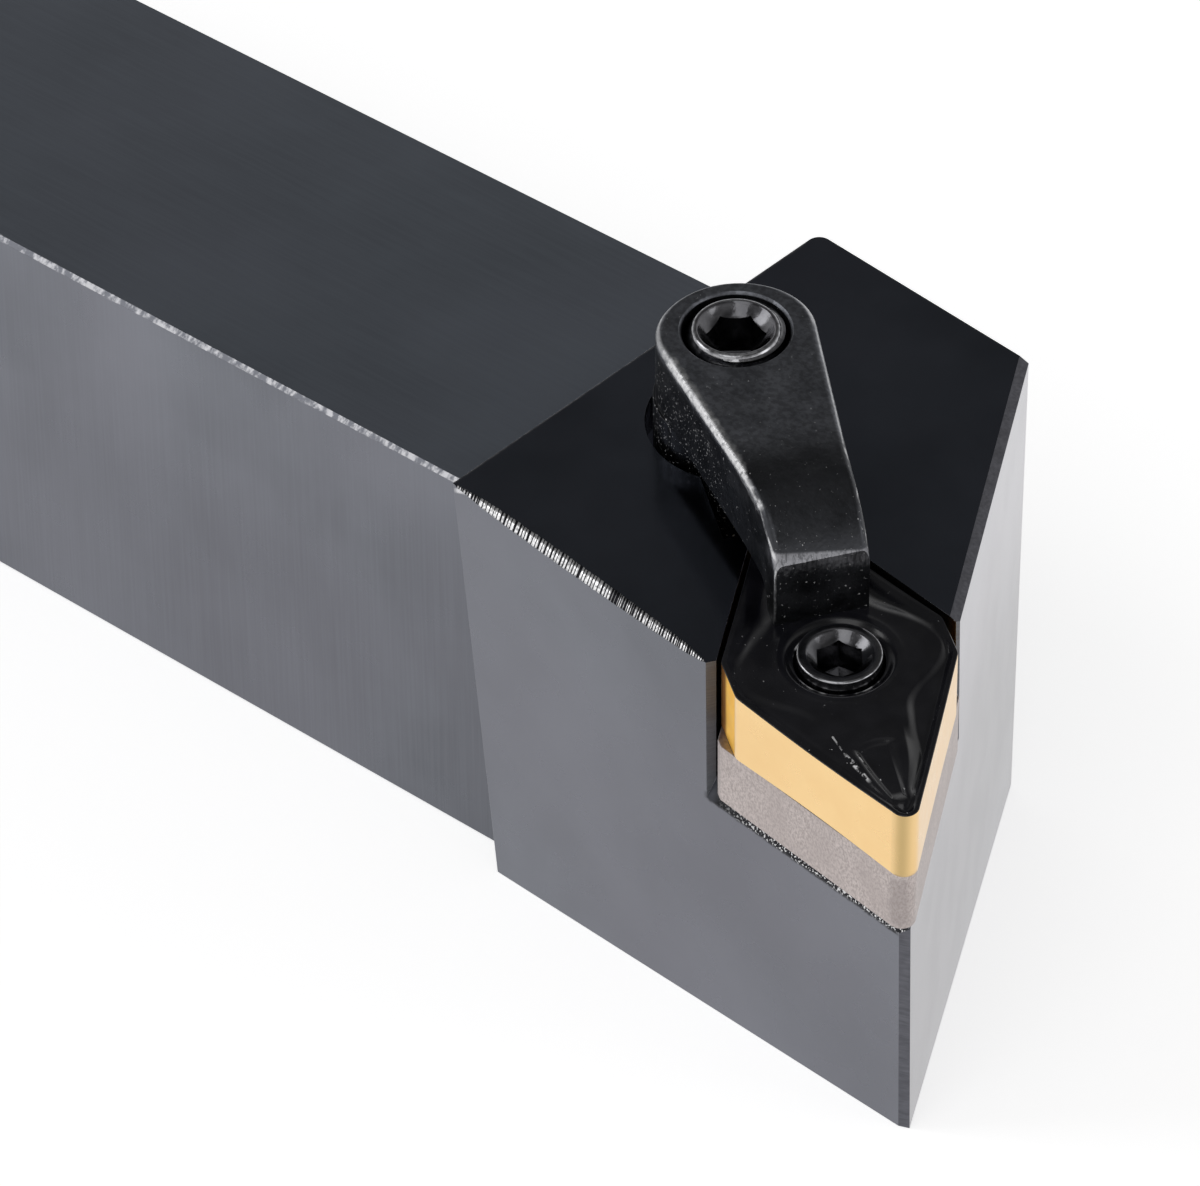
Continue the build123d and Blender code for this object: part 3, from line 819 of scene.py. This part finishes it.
def face_height(u, v):
    """Height of the moulded face over its seat plane, in millimetres.

    The island rises from the groove behind the land, and the dish is sunk into its front.
    """
    d = outline_distance(u, v)
    island = curve_distance(u, v, closed_curve(ISLAND, 8))
    x = np.abs(u)

    # The island's slope is long at the rear, faint on the left front and broad on the right front
    rear = smoothstep(-u, -0.6, 0.8)
    faint = smoothstep(-v, 0.2, 1.2) * (1 - rear) * (1 - smoothstep(x, 9.6, 11.4))
    broad = smoothstep(v, 0.0, 1.0) * smoothstep(x, 5.0, 7.2) * (1 - smoothstep(x, 10.6, 11.6))
    raised = smoothstep(island, -0.42 - 0.3 * rear, 0.22 + 0.25 * rear)
    raised = raised * (1 - broad) + np.clip((island + 0.3) / 0.8, 0.0, 1.0) * broad
    groove = -GROOVE_DEPTH * smoothstep(d, LAND_WIDTH, LAND_WIDTH + GROOVE_RUN + 0.6 * rear)
    h = groove * (1 - 0.7 * faint + 0.5 * broad) * (1 - raised)

    # The dish, behind an arch and narrower on its right, with a ridge round it
    arch = ARCH_PLACE + ARCH_BOW * (v / 1.2) ** 2
    dish_side = DISH_HALF - DISH_TAPER * np.maximum(x - DISH_START, 0.0) ** 1.35 - np.abs(v)
    dish_side = dish_side - 0.35 * smoothstep(v, 0.0, 0.5)
    dish_side = dish_side * (1 - 0.5 * smoothstep(v, 0.0, 0.6))
    dish = np.minimum(np.minimum(x - arch, dish_side), 0.5 * (DISH_FRONT - x))
    h = h - DISH_DEPTH * smoothstep(dish, -0.12, 0.30) * raised
    ridge = np.exp(-((dish + RIDGE_OFFSET) / RIDGE_WIDTH) ** 2) * smoothstep(x, 6.6, 8.0)
    h = h + RIDGE_HEIGHT * ridge * raised

    # The cutting edge is honed and sags between its corners
    middle = np.sin(math.pi * np.clip((x - 1.6) / 10.6, 0.0, 1.0))
    h = h - EDGE_SAG * middle * (1 - smoothstep(d, 0.1, 0.9))
    hone = HONE_DROP * (1 - smoothstep(d, 0.0, HONE_WIDTH)) ** 2

    # The hole is countersunk inside a raised rim
    radius = np.hypot(u, v)
    sunk = COUNTERSINK_DEPTH * (1 - smoothstep(radius, HOLE_RADIUS, COUNTERSINK_RADIUS + 0.1))
    rim = RIM_HEIGHT * np.exp(-((radius - COUNTERSINK_RADIUS - RIM_OFFSET) / RIM_WIDTH) ** 2)
    return h - hone - sunk + rim


def insert_outline(count):
    """Points on the insert's outline at even steps of its length, closer together on its noses."""
    angles = np.linspace(0.0, 2 * math.pi, 40001)[:-1]
    low, high = np.zeros(angles.shape), np.full(angles.shape, 16.0)
    for _ in range(40):
        middle = (low + high) / 2
        outside = outline_distance(middle * np.cos(angles), middle * np.sin(angles)) < 0
        high = np.where(outside, middle, high)
        low = np.where(outside, low, middle)
    loop = np.stack([low * np.cos(angles), low * np.sin(angles)], axis=-1)
    steps = np.hypot(*(np.roll(loop, -1, axis=0) - loop).T)
    weight = steps * (1 + NOSE_CROWDING * (np.abs(loop[:, 0]) > 12.0))
    run = np.concatenate([[0.0], np.cumsum(weight)])
    at = np.searchsorted(run, np.arange(count) / count * run[-1])
    return loop[np.clip(at, 0, len(loop) - 1)]


def insert_rows(grid, height, lower=False):
    """The rows of one face's vertices, on the upper side or turned over for the lower one."""
    heights = -INSERT_THICKNESS - height if lower else height
    return [[MM * spot(u, v, h) for (u, v), h in zip(ring, tall)]
            for ring, tall in zip(grid, heights)]


def upright_rows(outline, depths):
    return [[MM * spot(u, v, -depth) for u, v in outline] for depth in depths]


def insert_piece():
    """The insert as one closed mesh: both moulded faces, flanks with a small hone, and the hole."""
    outer = insert_outline(INSERT_COLUMNS)
    angle = np.arctan2(outer[:, 1], outer[:, 0])
    inner = HOLE_RADIUS * np.stack([np.cos(angle), np.sin(angle)], axis=-1)
    shares = np.linspace(0.0, 1.0, INSERT_RINGS)
    crowded = shares + RING_CROWDING * np.sin(2 * math.pi * (shares - 0.5))
    shares = np.clip(np.where(shares < 0.5, shares, crowded), 0.0, 1.0)
    shares = np.unique(np.concatenate([shares, 1 - np.array(HONE_RINGS)]))
    grid = inner[None] + (outer - inner)[None] * shares[:, None, None]
    height = face_height(grid[..., 0], grid[..., 1])
    rows = insert_rows(grid, height) + upright_rows(outer, FLANK_DEPTHS)
    rows += insert_rows(grid, height, lower=True)[::-1] + upright_rows(inner, HOLE_DEPTHS)
    total = len(rows)
    first_flank, last_flank = len(shares) - 1, len(shares) + len(FLANK_DEPTHS) - 1
    facet = (np.abs(outer[:, 1]) > 5.7) & (np.abs(outer[:, 0]) < 1.35)
    faces, finish = [], []
    for k in range(total):
        here, below = k * INSERT_COLUMNS, (k + 1) % total * INSERT_COLUMNS
        for j in range(INSERT_COLUMNS):
            right = (j + 1) % INSERT_COLUMNS
            faces.append((here + j, here + right, below + right, below + j))
            flank = 2 if facet[j] and facet[right] else 1
            finish.append(flank if first_flank <= k <= last_flank else 0)
    mesh = bpy.data.meshes.new("insert_body")
    mesh.from_pydata([p for row in rows for p in row], [], faces)
    for coat in (black_coat(), gold_coat(), gold_facet()):
        mesh.materials.append(coat)
    mesh.polygons.foreach_set("material_index", np.array(finish, np.int32))

    # The gold coat's painted reflection, darker in a band round the nose, and the painted light
    # that makes its right side paler
    bearing = np.degrees(np.arctan2(outer[:, 1], outer[:, 0] - 12.0))
    painted_dark_reflection = 0.8 * np.exp(-((bearing + 26.0) / 36.0) ** 2) * (outer[:, 0] > 12.2)
    painted_pale_light = smoothstep(outer[:, 1], 0.3, 1.2) * smoothstep(outer[:, 0], 0.5, 1.5)
    for name, values in (("painted_dark_reflection", painted_dark_reflection), ("painted_pale_light", painted_pale_light)):
        layer = mesh.attributes.new(name, "FLOAT", "POINT")
        layer.data.foreach_set("value", np.tile(values, total).astype(np.float32))
    mesh.validate()
    bm = bmesh.new()
    bm.from_mesh(mesh)
    bmesh.ops.recalc_face_normals(bm, faces=bm.faces)
    bm.to_mesh(mesh)
    bm.free()
    shade(mesh, 50.0)
    return stand_for(link(mesh, "insert_body"), "insert")


# Shim, pin, screw and clamp

# Edge breaks, and how far the clamp's rear end is drawn in between two radii, in millimetres
SHIM_EDGE = 0.07
CLAMP_EDGE = 0.1
CLAMP_END_PULL = 0.5
CLAMP_PULL_RADII = (3.6, 4.5)
KEY_STEPS = 96
BOWL_CURVE = 1.25
END_RADIUS = 0.025

# Heights in millimetres from top, which is itself over the insert's top. A bowl is its radius, top
# and depth, and a rim its radius and width. The lip and the shank are radii and heights, and a
# thread in the shank is its high and low end, radius, depth, pitch and bearing.
LOCK_PIN = dict(
    centre_u=0.0, top=0.5, flats=2.5, socket=2.6, turn=-15.0, bowl=(1.86, -0.20, 0.50),
    lip=[(1.93, -0.165), (2.20, -0.155), (2.30, -0.16), (2.36, -0.19), (2.39, -0.24),
         (2.40, -0.31)],
    shank=[(2.40, -5.41), (3.44, -5.41), (3.50, -5.47), (3.50, -7.20), (3.44, -7.26),
           (2.50, -7.26), (2.20, -7.40), (-7.5, -18.1, 2.5, 0.35, 0.8, 0.0), (2.15, -18.46)],
    rim=(2.37, 0.10))
CLAMP_SCREW = dict(
    centre_u=CLAMP_OFFSET, top=7.5, flats=3.0, socket=3.5, turn=15.0, bowl=(2.20, -0.38, 0.64),
    lip=[(2.25, -0.345), (2.32, -0.33), (2.42, -0.36), (2.50, -0.43), (2.55, -0.52)],
    shank=[(-0.56, -9.9, 2.84, 0.30, 1.0, 60.0), (2.30, -10.0), (2.30, -14.0),
           (-14.05, -23.6, 2.95, 0.40, 1.0, 0.0), (2.60, -24.0)],
    rim=(2.46, 0.26))


def shim_piece():
    bm = cleaned_solid("shim")
    round_edges(bm, sharp_edges(bm), SHIM_EDGE)
    return dressed(bm, "shim", "shim_plate", [carbide_grey()])


def clamp_piece():
    bm = cleaned_solid("top_clamp")
    round_edges(bm, sharp_edges(bm), CLAMP_EDGE)
    for vert in bm.verts:
        u, v, h = local(vert.co)
        radius = math.hypot(u - CLAMP_OFFSET, v)
        if u < CLAMP_OFFSET:
            pull = CLAMP_END_PULL * np.interp(radius, CLAMP_PULL_RADII, (0.0, 1.0))
            vert.co = MM * spot(u + (CLAMP_OFFSET - u) / radius * pull, v, h)
    return dressed(bm, "top_clamp", "clamp_finger", [forged_black()])


def flat_row(radius, height):
    return np.full(KEY_STEPS, radius), np.full(KEY_STEPS, height)


def thread_rows(high, low, radius, depth, pitch, bearing):
    """Rows of a helical thread between two heights, its ends bevelled."""
    turn = np.arange(KEY_STEPS) / KEY_STEPS - bearing / 360
    root = radius - depth
    rows = []
    for height in np.arange(high, low, -pitch / 8):
        crest = min(radius, root + 2.4 * (high - height), root + 0.6 * (height - low))
        valley = depth * (0.5 - 0.5 * np.cos(2 * math.pi * ((height - high) / pitch + turn)))
        rows.append((np.maximum(crest - valley, radius - 1.25 * depth),
                     np.full(KEY_STEPS, height)))
    return rows


def turned_piece(node, name, centre_u, top, flats, socket, turn, bowl, lip, shank, rim):
    """A turned screw or pin: a hexagon socket in a bowl, a lip round it and threads below."""
    around = np.arange(KEY_STEPS) / KEY_STEPS * 2 * math.pi
    key = flats / 2 / np.cos(np.mod(around, math.pi / 3) - math.pi / 6)
    bowl_radius, bowl_top, bowl_depth = bowl
    rows = [flat_row(END_RADIUS, -socket - 0.45),
            (key * 0.85, np.full(KEY_STEPS, -socket - 0.05)),
            (key, np.full(KEY_STEPS, -socket))]
    for share in np.linspace(0.0, 1.0, 9):
        radius = key + (bowl_radius - key) * share
        sunk = np.clip((bowl_radius - radius) / (bowl_radius - flats / 2), 0.0, 1.0)
        rows.append((radius, bowl_top - bowl_depth * (1 - (1 - sunk) ** BOWL_CURVE)))
    rows += [flat_row(radius, height) for radius, height in lip]
    for part in shank:
        rows += [flat_row(*part)] if len(part) == 2 else thread_rows(*part)
    rows.append(flat_row(END_RADIUS, shank[-1][1]))
    bearing = around + math.radians(turn)
    verts = [MM * spot(centre_u + r * math.cos(a), r * math.sin(a), top + h)
             for radii, heights in rows for a, r, h in zip(bearing, radii, heights)]
    last = len(rows) - 1
    faces = [tuple(range(KEY_STEPS)), tuple(last * KEY_STEPS + j for j in range(KEY_STEPS))]
    for here in range(0, last * KEY_STEPS, KEY_STEPS):
        below = here + KEY_STEPS
        for j in range(KEY_STEPS):
            right = (j + 1) % KEY_STEPS
            faces.append((here + j, here + right, below + right, below + j))
    mesh = bpy.data.meshes.new(name)
    mesh.from_pydata(verts, [], faces)
    bm = bmesh.new()
    bm.from_mesh(mesh)
    bpy.data.meshes.remove(mesh)
    bmesh.ops.recalc_face_normals(bm, faces=bm.faces)
    finish = screw_black(name + "_steel", spot(centre_u, 0.0, 0.0), *rim)
    return dressed(bm, node, name, [finish], weighted=False)


# Stage

# The floor's half width in metres, and how far it lies below the tool in millimetres
FLOOR_HALF = 4.0
FLOOR_DROP = 0.05
FLOOR_TONE = 0.82
FLOOR_LIFT = 0.67

# How bright the studio is, from the horizon and below it at 0 to straight overhead at 1
STUDIO = [(0.0, 0.95), (0.2, 0.85), (0.42, 0.48), (0.58, 0.26), (0.74, 0.09), (0.9, 0.12),
          (1.0, 0.3)]

# Direction from the head, distance and width in metres, and what a mirror shows of the lamp
LAMP_TARGET = Vector((80, -5, 25))
LAMPS = {
    "key_left": ((-0.62, -0.55, 0.56), 0.9, 0.42, 2.2),
    "fill_front": ((0.35, -0.75, 0.95), 1.0, 0.6, 1.1),
    "fill_right": ((0.9, 0.35, 0.35), 1.0, 0.4, 1.2),
}


def floor_finish():
    """A pale floor that keeps the shadow, made whiter to the camera and to shiny surfaces."""
    material = bpy.data.materials.new("floor_paper")
    material.use_nodes = True
    tree = material.node_tree
    shader = tree.nodes["Principled BSDF"]
    shader.inputs["Base Color"].default_value = (FLOOR_TONE, FLOOR_TONE, FLOOR_TONE, 1)
    shader.inputs["Roughness"].default_value = 0.9
    path = tree.nodes.new("ShaderNodeLightPath")
    seen = path.outputs["Is Camera Ray"]
    for ray in ("Is Glossy Ray", "Is Transmission Ray"):
        either = tree.nodes.new("ShaderNodeMath")
        either.operation = "MAXIMUM"
        tree.links.new(seen, either.inputs[0])
        tree.links.new(path.outputs[ray], either.inputs[1])
        seen = either.outputs[0]
    lift = tree.nodes.new("ShaderNodeMath")
    lift.operation = "MULTIPLY"
    lift.inputs[1].default_value = FLOOR_LIFT
    tree.links.new(seen, lift.inputs[0])
    shader.inputs["Emission Color"].default_value = (1, 1, 1, 1)
    tree.links.new(lift.outputs[0], shader.inputs["Emission Strength"])
    return material


def stage():
    mesh = bpy.data.meshes.new("floor")
    corners = [(-1, -1), (1, -1), (1, 1), (-1, 1)]
    mesh.from_pydata([(FLOOR_HALF * x, FLOOR_HALF * y, -FLOOR_DROP * MM) for x, y in corners],
                     [], [(0, 1, 2, 3)])
    mesh.materials.append(floor_finish())
    link(mesh, "floor")


def world():
    """White to the camera. To everything else a studio: bright at the horizon, dim overhead."""
    made = bpy.data.worlds.new("studio")
    bpy.context.scene.world = made
    made.use_nodes = True
    tree = made.node_tree
    background = tree.nodes["Background"]
    direction = tree.nodes.new("ShaderNodeTexCoord")
    split = tree.nodes.new("ShaderNodeSeparateXYZ")
    tree.links.new(direction.outputs["Generated"], split.inputs[0])
    ramp = tree.nodes.new("ShaderNodeValToRGB")
    elements = ramp.color_ramp.elements
    for element, (position, value) in zip((elements[0], elements[1]), (STUDIO[0], STUDIO[-1])):
        element.position = position
        element.color = (value, value, value, 1)
    for position, value in STUDIO[1:-1]:
        elements.new(position).color = (value, value, value, 1)
    tree.links.new(split.outputs["Z"], ramp.inputs[0])
    path = tree.nodes.new("ShaderNodeLightPath")
    mix = tree.nodes.new("ShaderNodeMix")
    mix.data_type = "RGBA"
    mix.inputs[7].default_value = (1, 1, 1, 1)
    tree.links.new(path.outputs["Is Camera Ray"], mix.inputs[0])
    tree.links.new(ramp.outputs[0], mix.inputs[6])
    tree.links.new(mix.outputs[2], background.inputs["Color"])
    background.inputs["Strength"].default_value = 1.0


def softbox(name, direction, distance, size, radiance):
    """A square area lamp that faces the head. Radiance is what a mirror would show of it."""
    data = bpy.data.lights.new(name, "AREA")
    data.shape = "SQUARE"
    data.size = size
    data.energy = radiance * math.pi * size * size
    lamp = bpy.data.objects.new(name, data)
    bpy.context.scene.collection.objects.link(lamp)
    toward = Vector(direction).normalized()
    lamp.location = LAMP_TARGET * MM + toward * distance
    lamp.rotation_mode = "QUATERNION"
    lamp.rotation_quaternion = toward.to_track_quat("Z", "Y")


place_camera()
world()
stage()
for lamp_name, lamp_facts in LAMPS.items():
    softbox(lamp_name, *lamp_facts)
holder()
insert_piece()
shim_piece()
turned_piece("lock_pin", "pin_turned", **LOCK_PIN)
turned_piece("clamp_screw", "screw_turned", **CLAMP_SCREW)
clamp_piece()

bpy.context.scene.view_settings.view_transform = "Standard"
